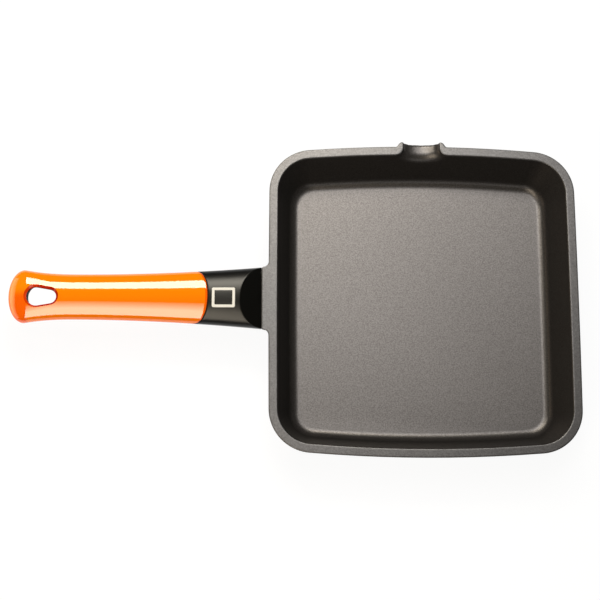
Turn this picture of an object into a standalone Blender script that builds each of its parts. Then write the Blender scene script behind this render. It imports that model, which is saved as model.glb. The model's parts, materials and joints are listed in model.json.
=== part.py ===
"""Square griddle pan with a pouring spout and a two-colour handle.

Frame: origin at the centre of the underside, +Z up, the handle runs towards -X
and the spout faces +Y. Run it from Blender's text editor, or with
blender --background --python part.py
"""

from math import atan2, cos, degrees, pi, radians, sin, sqrt, tan

import bmesh
import bpy
from mathutils import Vector

MM = 0.001

# Clearance between two pieces that touch on the real pan
GAP = 0.3 * MM

# Pan: the outline at the rim, the wall and the floor
PAN_WIDTH = 220.0 * MM
PAN_DEPTH = 225.2 * MM
PAN_HEIGHT = 40.0 * MM
CAVITY_DEPTH = 34.4 * MM
RIM_WIDTH = 6.3 * MM
CORNER_RADIUS = 31.0 * MM
END_SIDE_RADIUS = 1020.0 * MM
LONG_SIDE_RADIUS = 9000.0 * MM
WALL_DRAFT = radians(16.5)
CORNER_TIGHTENING = 0.76
UNDERSIDE_FILLET = 6.0 * MM
FLOOR_FILLET = 6.0 * MM
RIM_OUTER_ROUND = 1.0 * MM
RIM_INNER_ROUND = 0.7 * MM

# Pouring spout: a beak on the far side with a trough between two cheeks
BEAK_REACH = 3.4 * MM
BEAK_HALF_WIDTH = 14.5 * MM
BEAK_BLEND = 4.7 * MM
BEAK_DRAFT = radians(5.0)
BEAK_FULL_DEPTH = 7.0 * MM
BEAK_FADE_DEPTH = 22.0 * MM
TROUGH_HALF_WIDTH = 13.4 * MM
TROUGH_DEPTH = 5.5 * MM
TROUGH_FLARE = 4.5 * MM
TROUGH_SQUARENESS = 2.5

# Boss that carries the handle, cast in one with the pan: half an oval like the handle's end
BOSS_REACH = 5.0 * MM
BOSS_HALF_WIDTH = 21.3 * MM
BOSS_SIDE_TAPER = 0.9 * MM
BOSS_FILLET = 4.0 * MM
BOSS_DEPTH = 18.0 * MM
BOSS_UNDERSIDE_SLOPE = 1.0 * MM

# Tongue on the boss that enters the handle
TONGUE_LENGTH = 28.0 * MM
TONGUE_WIDTH = 20.0 * MM
TONGUE_HEIGHT = 6.0 * MM
TONGUE_BELOW_RIM = 1.7 * MM
TONGUE_EDGE = 1.0 * MM

# Induction plate let into the underside
PLATE_INSET = 27.0 * MM
PLATE_CORNER_RADIUS = 15.0 * MM
PLATE_THICKNESS = 0.8 * MM
PLATE_HOLE_RADIUS = 3.0 * MM
PLATE_HOLE_PITCH = 19.5 * MM
PLATE_HOLES_PER_ROW = 8

# Handle: its axis, its length and its widths, heights above and below the parting line
HANDLE_BELOW_RIM = 1.0 * MM
HANDLE_LENGTH = 177.3 * MM
PAN_END_WIDTH = 44.0 * MM
WAIST_WIDTH = 32.3 * MM
BUTT_WIDTH = 37.7 * MM
WAIST_AT = 130.0 * MM
BUTT_DOME = 11.2 * MM
BUTT_CREASE_SET_BACK = 2.4 * MM
BUTT_CREASE_POWER = 0.6
PAN_END_RISE = 8.8 * MM
WAIST_RISE = 7.4 * MM
PAN_END_DROP = 18.0 * MM
WAIST_DROP = 9.0 * MM
FERRULE_TAPER_POWER = 1.9
BUTT_FLARE_POWER = 2.3
HANDLE_SQUARENESS = 2.15

# Ferrule: the sloping facet at the pan and the slanted joint with the orange grip
FACET_LENGTH = 15.0 * MM
FACET_RISE = 7.5 * MM
JOINT_CREST_AT = 36.7 * MM
JOINT_SIDE_AT = 45.7 * MM

# Grip shells and the hanging hole
SHELL_WALL = 2.2 * MM
HOLE_LARGE_RADIUS = 6.0 * MM
HOLE_SMALL_RADIUS = 4.2 * MM
HOLE_LARGE_FROM_BUTT = 20.1 * MM
HOLE_LENGTH = 19.3 * MM
HOLE_LIP_ROUND = 2.0 * MM

# Fixing from below: screw, two washers and the steel insert in the tongue
SCREW_FROM_BOSS = 17.0 * MM
SCREW_RADIUS = 2.5 * MM
SCREW_HEAD_RADIUS = 4.75 * MM
SCREW_HEAD_HEIGHT = 3.0 * MM
SCREW_HEAD_DOME = 1.0 * MM
FLAT_WASHER_RADIUS = 5.0 * MM
FLAT_WASHER_THICKNESS = 0.8 * MM
SPRING_WASHER_RADIUS = 4.4 * MM
SPRING_WASHER_THICKNESS = 1.2 * MM
SPRING_WASHER_SPLIT = 1.0 * MM
INSERT_RADIUS = 3.9 * MM
SEAT_THICKNESS = 2.5 * MM

# Places that follow from the sizes above
HALF_WIDTH = PAN_WIDTH / 2
HALF_DEPTH = PAN_DEPTH / 2
FLOOR_Z = PAN_HEIGHT - CAVITY_DEPTH
RIM_OVERHANG = RIM_OUTER_ROUND * ((1 + sin(WALL_DRAFT)) / cos(WALL_DRAFT) - 1)
BOSS_FACE_X = -HALF_WIDTH - BOSS_REACH
HANDLE_START_X = BOSS_FACE_X - GAP
HANDLE_Z = PAN_HEIGHT - HANDLE_BELOW_RIM
TONGUE_TOP_Z = PAN_HEIGHT - TONGUE_BELOW_RIM
TONGUE_BOTTOM_Z = TONGUE_TOP_Z - TONGUE_HEIGHT
SCREW_X = BOSS_FACE_X - SCREW_FROM_BOSS
SEAT_Z = TONGUE_BOTTOM_Z - GAP - SEAT_THICKNESS
BUTT_WIDEST_AT = HANDLE_LENGTH - BUTT_DOME
BORE_RADIUS = SCREW_RADIUS + GAP

# Facet counts
CORNER_STEPS = 8
FILLET_STEPS = 4
RING_POINTS = 32
CIRCLE_POINTS = 24
PLATE_HOLE_POINTS = 10


def collection(name):
    """Make a collection in the scene."""
    made = bpy.data.collections.new(name)
    bpy.context.scene.collection.children.link(made)
    return made


def clear_scene():
    """Remove every object the file opened with."""
    for obj in list(bpy.data.objects):
        bpy.data.objects.remove(obj, do_unlink=True)


def material(name, colour, roughness, metallic):
    """A Principled material with the colour, roughness and metallic value given."""
    made = bpy.data.materials.new(name)
    made.use_nodes = True
    shader = made.node_tree.nodes["Principled BSDF"]
    shader.inputs["Base Color"].default_value = (*colour, 1.0)
    shader.inputs["Roughness"].default_value = roughness
    shader.inputs["Metallic"].default_value = metallic
    return made


def place(obj, group, finish=None):
    """Move an object into a collection and give it its material."""
    for old in list(obj.users_collection):
        old.objects.unlink(obj)
    group.objects.link(obj)
    if finish:
        obj.data.materials.clear()
        obj.data.materials.append(finish)
    obj.data.shade_smooth()
    obj.data.set_sharp_from_angle(angle=radians(35))
    return obj


def as_cutter(obj, cutters):
    """Keep an object as a construction aid that is drawn as wire and never rendered."""
    place(obj, cutters)
    obj.hide_render = True
    obj.display_type = "WIRE"
    return obj


def combine(target, tool, operation):
    """Put a live Boolean on the target."""
    step = target.modifiers.new(f"{operation.lower()} {tool.name}", "BOOLEAN")
    step.operation = operation
    step.object = tool
    step.solver = "EXACT"


def loft(name, rings):
    """Skin closed rings that have equal numbers of points, and cap both ends."""
    shell = bmesh.new()
    loops = [[shell.verts.new(point) for point in ring] for ring in rings]
    for lower, upper in zip(loops, loops[1:]):
        for i in range(len(lower)):
            j = (i + 1) % len(lower)
            shell.faces.new((lower[i], lower[j], upper[j], upper[i]))
    shell.faces.new(reversed(loops[0]))
    shell.faces.new(loops[-1])
    bmesh.ops.recalc_face_normals(shell, faces=shell.faces)
    mesh = bpy.data.meshes.new(name)
    shell.to_mesh(mesh)
    shell.free()
    obj = bpy.data.objects.new(name, mesh)
    bpy.context.scene.collection.objects.link(obj)
    return obj


def box(name, low, high):
    """A box between two corners, from the cube primitive."""
    low, high = Vector(low), Vector(high)
    bpy.ops.mesh.primitive_cube_add(size=1.0, location=(low + high) / 2)
    obj = bpy.context.object
    obj.name = name
    obj.scale = high - low
    bpy.ops.object.transform_apply(location=False, rotation=False, scale=True)
    return obj


def cylinder(name, radius, bottom, top, x, y=0.0, points=CIRCLE_POINTS):
    """An upright cylinder from the primitive."""
    bpy.ops.mesh.primitive_cylinder_add(
        vertices=points, radius=radius, depth=top - bottom, location=(x, y, (top + bottom) / 2))
    obj = bpy.context.object
    obj.name = name
    return obj


def half_space(name, point, normal, reach=0.5):
    """A large box that fills the side of a plane towards which the normal points."""
    normal = Vector(normal).normalized()
    bpy.ops.mesh.primitive_cube_add(size=reach, location=Vector(point) + normal * reach / 2)
    obj = bpy.context.object
    obj.name = name
    obj.rotation_mode = "QUATERNION"
    obj.rotation_quaternion = normal.to_track_quat("Z", "Y")
    return obj


# Pan

def rounded_path(corners):
    """Points along a path whose inner corners are rounded: (position, radius, steps)."""
    path = [Vector(corners[0][0])]
    for before, corner, after in zip(corners, corners[1:], corners[2:]):
        middle, radius, steps = Vector(corner[0]), corner[1], corner[2]
        back = (Vector(before[0]) - middle).normalized()
        ahead = (Vector(after[0]) - middle).normalized()
        half = back.angle(ahead) / 2
        centre = middle + (back + ahead).normalized() * radius / sin(half)
        start = middle + back * radius / tan(half) - centre
        end = middle + ahead * radius / tan(half) - centre
        turn = atan2(start.x * end.y - start.y * end.x, start.dot(end))
        for i in range(steps + 1):
            angle = turn * i / steps
            path.append(centre + Vector((
                start.x * cos(angle) - start.y * sin(angle),
                start.x * sin(angle) + start.y * cos(angle))))
    path.append(Vector(corners[-1][0]))
    return path


def wall_inset(depth):
    """How far the outer wall has drawn in at a depth, so that the rounded rim is at full width."""
    return depth * tan(WALL_DRAFT) - RIM_OVERHANG


def smooth_step(value):
    """Ease from 0 to 1."""
    value = min(max(value, 0.0), 1.0)
    return value * value * (3 - 2 * value)


def beak_bulge(x, depth):
    """How far the spout's beak stands out of the far wall at a place along the rim."""
    across = 1 - smooth_step((abs(x) - BEAK_HALF_WIDTH) / BEAK_BLEND)
    fade = 1 - smooth_step((depth - BEAK_FULL_DEPTH) / (BEAK_FADE_DEPTH - BEAK_FULL_DEPTH))
    return (BEAK_REACH + depth * (tan(WALL_DRAFT) - tan(BEAK_DRAFT))) * across * fade


def beak_stations():
    """Places along the far side, from the right to the left, closer where the beak blends in."""
    steps = 6
    blend = [BEAK_HALF_WIDTH + BEAK_BLEND * (1 - i / steps) for i in range(steps + 1)]
    right = blend + [BEAK_HALF_WIDTH * share for share in (0.85, 0.6, 0.3)]
    return right + [0.0] + [-x for x in reversed(right)]


def boss_half_width(depth):
    """Half the boss's width at a depth: the lower half of an oval."""
    down = max(depth - HANDLE_BELOW_RIM, 0.0) / (BOSS_DEPTH - HANDLE_BELOW_RIM)
    return BOSS_HALF_WIDTH * (1 - min(down, 1.0) ** HANDLE_SQUARENESS) ** (1 / HANDLE_SQUARENESS)


def pan_ring(inset, z, corner_radius, outside=False):
    """The pan's outline at one level, anticlockwise, with the beak and the boss on the outside.

    The outline has a slightly bowed arc for each side and a rounder arc for each corner.
    """
    depth = PAN_HEIGHT - z
    half_x, half_y = HALF_WIDTH - inset, HALF_DEPTH - inset
    side_arc, end_arc = LONG_SIDE_RADIUS - inset, END_SIDE_RADIUS - inset
    corner_x, corner_y = half_x - corner_radius, half_y - corner_radius
    for _ in range(8):
        corner_x = half_x - side_arc + sqrt((side_arc - corner_radius) ** 2 - corner_y ** 2)
        corner_y = half_y - end_arc + sqrt((end_arc - corner_radius) ** 2 - corner_x ** 2)

    def side_x(y):
        return half_x - side_arc + sqrt(side_arc ** 2 - y ** 2)

    def end_y(x):
        return half_y - end_arc + sqrt(end_arc ** 2 - x ** 2)

    side_tilt = atan2(corner_y, corner_x - half_x + side_arc)
    end_tilt = atan2(corner_x, corner_y - half_y + end_arc)
    corner = []
    for i in range(CORNER_STEPS + 1):
        angle = side_tilt + (pi / 2 - end_tilt - side_tilt) * i / CORNER_STEPS
        corner.append((corner_x + corner_radius * cos(angle), corner_y + corner_radius * sin(angle)))

    right = [(side_x(0.0), 0.0)]
    far = []
    for x in [corner_x * 0.7, corner_x * 0.45] + beak_stations() + [-corner_x * 0.45, -corner_x * 0.7]:
        far.append((x, end_y(x) + (beak_bulge(x, depth) if outside else 0.0)))
    near = [(x * corner_x, -end_y(x * corner_x)) for x in (-0.75, -0.5, -0.25, 0, 0.25, 0.5, 0.75)]

    has_boss = outside and depth < BOSS_DEPTH
    edge_inset = inset - wall_inset(depth)
    boss = []
    boss_half = boss_half_width(depth)
    root = boss_half + BOSS_SIDE_TAPER
    for i in range(FILLET_STEPS + 1):
        angle = pi / 2 * i / FILLET_STEPS
        y = root + BOSS_FILLET * (1 - sin(angle))
        boss.append((-side_x(y) - (BOSS_FILLET * (1 - cos(angle)) if has_boss else 0.0), y))
    for y in (boss_half, boss_half / 2):
        boss.append((BOSS_FACE_X + edge_inset if has_boss else -side_x(y), y))
    left = boss + [(x, -y) for x, y in reversed(boss)]

    outline = right + corner + far
    outline += [(-x, y) for x, y in reversed(corner)]
    outline += left
    outline += [(-x, -y) for x, y in corner]
    outline += near
    outline += [(x, -y) for x, y in reversed(corner)]
    return [(x, y, z) for x, y in outline]


def outer_corner_radius(inset):
    """The outer corner gets tighter towards the underside."""
    return CORNER_RADIUS - CORNER_TIGHTENING * inset


def inner_corner_radius(inset):
    """The cavity's corner starts parallel to the rim and gets tighter towards the floor."""
    return CORNER_RADIUS - RIM_WIDTH - CORNER_TIGHTENING * (inset - RIM_WIDTH)


def plate_pocket_ring(z, clearance):
    """The outline of the induction plate, or of its pocket with the clearance added."""
    return pan_ring(PLATE_INSET - clearance, z, PLATE_CORNER_RADIUS + clearance)


def pan_profile():
    """The section through the wall as (inset, height), in its outer and its inner stretch."""
    rim_middle = RIM_WIDTH / 2
    outer = rounded_path([
        ((PLATE_INSET - GAP, 0.0),),
        ((wall_inset(PAN_HEIGHT), 0.0), UNDERSIDE_FILLET, FILLET_STEPS),
        ((-RIM_OVERHANG, PAN_HEIGHT), RIM_OUTER_ROUND, 2),
        ((rim_middle, PAN_HEIGHT),)])
    inner = rounded_path([
        ((rim_middle, PAN_HEIGHT),),
        ((RIM_WIDTH, PAN_HEIGHT), RIM_INNER_ROUND, 2),
        ((RIM_WIDTH + CAVITY_DEPTH * tan(WALL_DRAFT), FLOOR_Z), FLOOR_FILLET, FILLET_STEPS),
        ((HALF_WIDTH / 2, FLOOR_Z),)])
    return outer[1:-1], inner[1:-1]


def outer_wall_depths():
    """Depths on the outer wall where the beak and the boss need a ring of their own."""
    beak = [BEAK_FULL_DEPTH + (BEAK_FADE_DEPTH - BEAK_FULL_DEPTH) * i / 5 for i in range(6)]
    oval = BOSS_DEPTH - HANDLE_BELOW_RIM
    boss = [HANDLE_BELOW_RIM + oval * sin(radians(turn)) for turn in (6, 18, 30, 42, 54, 66, 77, 86)]
    boss.append(BOSS_DEPTH + BOSS_UNDERSIDE_SLOPE)
    clear_of_boss = [depth for depth in beak if min(abs(depth - edge) for edge in boss) > MM / 2]
    return sorted(clear_of_boss + boss, reverse=True)


def trough_ring(station, flare, wall_y):
    """One section of the trough: a rounded U under a tall open top, leaning with the wall."""
    half_width, depth = TROUGH_HALF_WIDTH + flare, TROUGH_DEPTH + flare
    top = PAN_HEIGHT + TROUGH_DEPTH
    ring = [(half_width, top), (-half_width, top)]
    steps = 18
    for i in range(steps + 1):
        angle = pi * i / steps
        across = abs(cos(angle)) ** (2 / TROUGH_SQUARENESS) * (-1 if angle < pi / 2 else 1)
        down = sin(angle) ** (2 / TROUGH_SQUARENESS) if 0 < i < steps else 0.0
        ring.append((half_width * across, PAN_HEIGHT - depth * down))
    return [(x, wall_y + station - (PAN_HEIGHT - z) * tan(WALL_DRAFT), z) for x, z in ring]


def trough_cutter(cutters):
    """The trough, which opens towards the cavity like the mouth of a trumpet."""
    wall_y = HALF_DEPTH - RIM_WIDTH
    beyond = RIM_WIDTH + BEAK_REACH + BEAK_BLEND + TROUGH_DEPTH
    rings = [trough_ring(beyond, 0.0, wall_y)]
    last = radians(80)
    steps = 6
    for i in range(steps + 1):
        angle = last * i / steps
        flare = TROUGH_FLARE * (1 - cos(angle))
        rings.append(trough_ring(TROUGH_FLARE * (1 - sin(angle)), flare, wall_y))
    run_out = TROUGH_FLARE / 7
    flare = TROUGH_FLARE * (1 - cos(last)) + run_out * tan(last)
    rings.append(trough_ring(TROUGH_FLARE * (1 - sin(last)) - run_out, flare, wall_y))
    return as_cutter(loft("trough_cutter", rings), cutters)


def make_pan_body(parts, cutters, finish):
    """Cast pan: floor, drafted walls, flat rim, spout, boss and the tongue for the handle."""
    outer, inner = pan_profile()
    wall_start = FILLET_STEPS + 1
    rings = [plate_pocket_ring(PLATE_THICKNESS + GAP, GAP), plate_pocket_ring(0.0, GAP)]
    rings += [pan_ring(p.x, p.y, outer_corner_radius(p.x), True) for p in outer[:wall_start]]
    for depth in outer_wall_depths():
        inset = wall_inset(depth)
        rings.append(pan_ring(inset, PAN_HEIGHT - depth, outer_corner_radius(inset), True))
    rings += [pan_ring(p.x, p.y, outer_corner_radius(p.x), True) for p in outer[wall_start:]]
    rings += [pan_ring(p.x, p.y, inner_corner_radius(p.x)) for p in inner]
    pan = place(loft("pan_body", rings), parts, finish)

    tongue = box(
        "tongue",
        (BOSS_FACE_X - TONGUE_LENGTH, -TONGUE_WIDTH / 2, TONGUE_BOTTOM_Z),
        (BOSS_FACE_X + BOSS_REACH / 2, TONGUE_WIDTH / 2, TONGUE_TOP_Z))
    edge = tongue.modifiers.new("rounded edges", "BEVEL")
    edge.width = TONGUE_EDGE
    edge.segments = 2
    combine(pan, as_cutter(tongue, cutters), "UNION")
    bore = cylinder(
        "insert_bore", INSERT_RADIUS + GAP, TONGUE_BOTTOM_Z - TONGUE_EDGE,
        TONGUE_TOP_Z + TONGUE_EDGE, SCREW_X)
    combine(pan, as_cutter(bore, cutters), "DIFFERENCE")
    combine(pan, trough_cutter(cutters), "DIFFERENCE")


# Induction plate

def make_induction_plate(parts, finish):
    """Thin steel plate with a grid of round holes, flush with the underside."""
    flat = bpy.data.curves.new("induction_plate", "CURVE")
    flat.dimensions = "2D"
    flat.fill_mode = "BOTH"
    flat.extrude = PLATE_THICKNESS / 2

    def add_outline(points):
        spline = flat.splines.new("POLY")
        spline.points.add(len(points) - 1)
        for point, (x, y) in zip(spline.points, points):
            point.co = (x, y, 0.0, 1.0)
        spline.use_cyclic_u = True

    add_outline([(x, y) for x, y, _ in plate_pocket_ring(0.0, 0.0)])
    first = -(PLATE_HOLES_PER_ROW - 1) * PLATE_HOLE_PITCH / 2
    for row in range(PLATE_HOLES_PER_ROW):
        for column in range(PLATE_HOLES_PER_ROW):
            centre_x = first + column * PLATE_HOLE_PITCH
            centre_y = first + row * PLATE_HOLE_PITCH
            turns = [2 * pi * i / PLATE_HOLE_POINTS for i in range(PLATE_HOLE_POINTS)]
            add_outline([(
                centre_x + PLATE_HOLE_RADIUS * cos(turn),
                centre_y + PLATE_HOLE_RADIUS * sin(turn)) for turn in turns])

    guide = bpy.data.objects.new("induction_plate_outline", flat)
    bpy.context.scene.collection.objects.link(guide)
    guide.location = (0.0, 0.0, PLATE_THICKNESS / 2)
    bpy.context.view_layer.update()
    solid = bpy.data.meshes.new_from_object(guide.evaluated_get(bpy.context.evaluated_depsgraph_get()))
    weld = bmesh.new()
    weld.from_mesh(solid)
    bmesh.ops.remove_doubles(weld, verts=weld.verts, dist=MM / 100)
    bmesh.ops.recalc_face_normals(weld, faces=weld.faces)
    weld.to_mesh(solid)
    weld.free()
    plate = bpy.data.objects.new("induction_plate", solid)
    plate.matrix_world = guide.matrix_world.copy()
    bpy.data.objects.remove(guide)
    bpy.context.scene.collection.objects.link(plate)
    place(plate, parts, finish)


# Handle

def handle_width(along):
    """Full width at a distance from the pan: it narrows to the waist and flares to the butt."""
    if along < WAIST_AT:
        flare = (1 - along / WAIST_AT) ** FERRULE_TAPER_POWER
        return WAIST_WIDTH + (PAN_END_WIDTH - WAIST_WIDTH) * flare
    flare = ((along - WAIST_AT) / (BUTT_WIDEST_AT - WAIST_AT)) ** BUTT_FLARE_POWER
    return WAIST_WIDTH + (BUTT_WIDTH - WAIST_WIDTH) * flare


def handle_height(along, pan_end, waist):
    """Height above or below the parting line at a distance from the pan."""
    taper = max(1 - along / WAIST_AT, 0.0) ** FERRULE_TAPER_POWER
    return waist + (pan_end - waist) * taper


def handle_ring(along, inward=0.0, dome=0.0):
    """One cross-section of the handle, a soft ellipse, or at a share of the butt's dome.

    Above, the dome starts at a crease that is set back towards the crest; below, it is plainly round.
    """
    power = 2 / HANDLE_SQUARENESS
    ring = []
    for i in range(RING_POINTS):
        angle = 2 * pi * i / RING_POINTS
        above = sin(angle) >= 0
        crease = BUTT_WIDEST_AT - (BUTT_CREASE_SET_BACK * sin(angle) if above else 0.0)
        start = min(along, crease)
        half_width = (handle_width(start) / 2 - inward) * sqrt(1 - dome ** 2)
        rise = handle_height(start, PAN_END_RISE, WAIST_RISE) - inward
        drop = handle_height(start, PAN_END_DROP, WAIST_DROP) - inward
        across = abs(cos(angle)) ** power * (1 if cos(angle) >= 0 else -1)
        up = abs(sin(angle)) ** power * (rise if above else -drop)
        up *= (1 - dome) ** BUTT_CREASE_POWER if above else sqrt(1 - dome ** 2)
        reach = (HANDLE_LENGTH - crease - inward) * dome
        ring.append((HANDLE_START_X - start - reach, half_width * across, HANDLE_Z + up))
    return ring


def handle_loft(name, start, inward=0.0, end=None):
    """Skin the handle from a distance to its domed butt, or to a plain end."""
    stop = BUTT_WIDEST_AT if end is None else end
    steps = max(4, round((stop - start) / (12 * MM)))
    rings = [handle_ring(start + (stop - start) * i / steps, inward) for i in range(steps + 1)]
    if end is None:
        for turn in (12, 25, 39, 53, 66, 78, 86):
            rings.append(handle_ring(BUTT_WIDEST_AT, inward, sin(radians(turn))))
    return loft(name, rings)


def joint_plane(shift=0.0):
    """A point on the slanted joint and its normal towards the butt."""
    crest_z = HANDLE_Z + handle_height(JOINT_CREST_AT, PAN_END_RISE, WAIST_RISE)
    crest = Vector((HANDLE_START_X - JOINT_CREST_AT, 0.0, crest_z))
    side = Vector((HANDLE_START_X - JOINT_SIDE_AT, 0.0, HANDLE_Z))
    slope = side - crest
    normal = Vector((slope.z, 0.0, -slope.x)).normalized()
    return crest + normal * shift, normal


def egg_ring(z, grow=0.0):
    """The hanging hole's outline: a large and a small arc joined by straight sides."""
    large, small = HOLE_LARGE_RADIUS + grow, HOLE_SMALL_RADIUS + grow
    large_x = HANDLE_START_X - HANDLE_LENGTH + HOLE_LARGE_FROM_BUTT
    apart = HOLE_LENGTH - HOLE_LARGE_RADIUS - HOLE_SMALL_RADIUS
    lean = atan2(large - small, sqrt(apart ** 2 - (large - small) ** 2))
    steps = 8
    ring = []
    for i in range(steps + 1):
        angle = -(pi / 2 - lean) + (pi - 2 * lean) * i / steps
        ring.append((large_x + apart + small * cos(angle), small * sin(angle), z))
    for i in range(steps + 1):
        angle = pi / 2 - lean + (pi + 2 * lean) * i / steps
        ring.append((large_x + large * cos(angle), large * sin(angle), z))
    return ring


def hole_cutter(name, cutters, lip):
    """A cutter for the hanging hole, flared at both faces where the lip is rounded."""
    top = HANDLE_Z + WAIST_RISE
    bottom = HANDLE_Z - WAIST_DROP
    upper = []
    lower = []
    if lip:
        for turn in (0, 25, 50, 75):
            angle = radians(turn)
            grow = lip * (1 - cos(angle))
            upper.append((top - lip * (1 - sin(angle)), grow))
            lower.append((bottom + lip * (1 - sin(angle)), grow))
        grow = upper[-1][1] + lip
        upper.append((upper[-1][0] + lip * tan(radians(15)), grow))
        lower.append((lower[-1][0] - lip * tan(radians(15)), grow))
    else:
        upper.append((top + GAP, 0.0))
        lower.append((bottom - GAP, 0.0))
    rings = [egg_ring(z, grow) for z, grow in reversed(lower)] + [egg_ring(z, grow) for z, grow in upper]
    return as_cutter(loft(name, rings), cutters)


def make_handle_core(parts, cutters, finish):
    """Black moulding: the ferrule at the pan and the core that runs inside the grip."""
    ferrule_end = JOINT_SIDE_AT + (JOINT_SIDE_AT - JOINT_CREST_AT) * 2
    core = handle_loft("handle_core", 0.0, end=ferrule_end)
    place(core, parts, finish)
    joint, normal = joint_plane()
    combine(core, as_cutter(half_space("ferrule_end", joint, normal), cutters), "DIFFERENCE")
    spigot = handle_loft("spigot", JOINT_CREST_AT / 2, SHELL_WALL + GAP)
    combine(core, as_cutter(spigot, cutters), "UNION")

    facet_point = (HANDLE_START_X, 0.0, PAN_HEIGHT)
    facet = half_space("facet", facet_point, (FACET_RISE, 0.0, FACET_LENGTH))
    combine(core, as_cutter(facet, cutters), "DIFFERENCE")
    socket = box(
        "socket",
        (BOSS_FACE_X - TONGUE_LENGTH - GAP, -TONGUE_WIDTH / 2 - GAP, TONGUE_BOTTOM_Z - GAP),
        (BOSS_FACE_X + GAP, TONGUE_WIDTH / 2 + GAP, TONGUE_TOP_Z + GAP))
    combine(core, as_cutter(socket, cutters), "DIFFERENCE")
    below = HANDLE_Z - PAN_END_DROP - MM
    hole = cylinder("screw_hole", BORE_RADIUS, below, TONGUE_BOTTOM_Z, SCREW_X)
    combine(core, as_cutter(hole, cutters), "DIFFERENCE")
    well = cylinder("screw_well", FLAT_WASHER_RADIUS + 2 * GAP, below, SEAT_Z, SCREW_X)
    combine(core, as_cutter(well, cutters), "DIFFERENCE")
    combine(core, hole_cutter("core_hole", cutters, 0.0), "DIFFERENCE")


def make_grip_shells(parts, cutters, finish):
    """Orange upper and lower shells that meet on the parting line and wrap the core."""
    hollow = as_cutter(handle_loft("grip_hollow", JOINT_CREST_AT / 3, SHELL_WALL), cutters)
    joint, normal = joint_plane(GAP)
    end = as_cutter(half_space("grip_end", joint, -normal), cutters)
    hole = hole_cutter("grip_hole", cutters, HOLE_LIP_ROUND)
    for name, side in (("grip_shell_upper", 1), ("grip_shell_lower", -1)):
        shell = handle_loft(name, JOINT_CREST_AT / 2)
        place(shell, parts, finish)
        line = Vector((HANDLE_START_X, 0.0, HANDLE_Z + side * GAP / 2))
        other_side = as_cutter(half_space(f"{name}_parting", line, (0.0, 0.0, -side)), cutters)
        combine(shell, other_side, "DIFFERENCE")
        combine(shell, end, "DIFFERENCE")
        combine(shell, hollow, "DIFFERENCE")
        combine(shell, hole, "DIFFERENCE")


# Fixing

def turned(name, profile, group, finish):
    """Spin a profile of (radius, height), given top to bottom on its outer side, about the screw."""
    mesh = bpy.data.meshes.new(name)
    points = [(radius, 0.0, z) for radius, z in profile]
    closed = profile[0][0] > 0
    edges = [(i, i + 1) for i in range(len(points) - 1)]
    if closed:
        edges.append((len(points) - 1, 0))
    mesh.from_pydata(points, edges, [])
    obj = bpy.data.objects.new(name, mesh)
    bpy.context.scene.collection.objects.link(obj)
    obj.location = (SCREW_X, 0.0, 0.0)
    spin = obj.modifiers.new("turn", "SCREW")
    spin.steps = CIRCLE_POINTS
    spin.render_steps = CIRCLE_POINTS
    spin.use_merge_vertices = True
    spin.merge_threshold = MM / 100
    place(obj, group, finish)
    return obj


def make_fixing(parts, cutters, steel):
    """Screw, flat and spring washers below the seat, and the insert in the tongue."""
    turned("thread_insert", [
        (INSERT_RADIUS, TONGUE_TOP_Z), (INSERT_RADIUS, TONGUE_BOTTOM_Z),
        (BORE_RADIUS, TONGUE_BOTTOM_Z), (BORE_RADIUS, TONGUE_TOP_Z)], parts, steel)
    top = SEAT_Z - GAP
    bottom = top - FLAT_WASHER_THICKNESS
    turned("flat_washer", [
        (FLAT_WASHER_RADIUS, top), (FLAT_WASHER_RADIUS, bottom),
        (BORE_RADIUS, bottom), (BORE_RADIUS, top)], parts, steel)
    top = bottom - GAP
    bottom = top - SPRING_WASHER_THICKNESS
    spring = turned("spring_washer", [
        (SPRING_WASHER_RADIUS, top), (SPRING_WASHER_RADIUS, bottom),
        (BORE_RADIUS, bottom), (BORE_RADIUS, top)], parts, steel)
    split = box(
        "washer_split",
        (SCREW_X, -SPRING_WASHER_SPLIT / 2, bottom - MM), (SCREW_X + 2 * SPRING_WASHER_RADIUS,
        SPRING_WASHER_SPLIT / 2, top + MM))
    combine(spring, as_cutter(split, cutters), "DIFFERENCE")
    top = bottom - GAP
    bottom = top - SCREW_HEAD_HEIGHT
    turned("handle_screw", [
        (0.0, TONGUE_TOP_Z), (SCREW_RADIUS, TONGUE_TOP_Z), (SCREW_RADIUS, top),
        (SCREW_HEAD_RADIUS, top), (SCREW_HEAD_RADIUS, bottom + SCREW_HEAD_DOME),
        (SCREW_HEAD_RADIUS - SCREW_HEAD_DOME, bottom), (0.0, bottom)], parts, steel)


def main():
    """Build the griddle pan."""
    clear_scene()
    parts = collection("griddle_pan")
    cutters = collection("cutters")
    coating = material("non-stick coating", (0.075, 0.072, 0.068), 0.5, 0.0)
    plate_steel = material("ferritic stainless steel", (0.55, 0.55, 0.56), 0.35, 1.0)
    phenolic = material("black phenolic", (0.055, 0.055, 0.058), 0.55, 0.0)
    orange = material("orange gloss plastic", (0.95, 0.24, 0.004), 0.12, 0.0)
    zinc_steel = material("zinc-plated steel", (0.6, 0.6, 0.62), 0.3, 1.0)
    make_pan_body(parts, cutters, coating)
    make_induction_plate(parts, plate_steel)
    make_handle_core(parts, cutters, phenolic)
    make_grip_shells(parts, cutters, orange)
    make_fixing(parts, cutters, zinc_steel)


main()
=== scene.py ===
import json
from math import atan2, cos, pi, radians, sin, sqrt, tan

import bmesh
import bpy
from mathutils import Matrix, Vector

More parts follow.
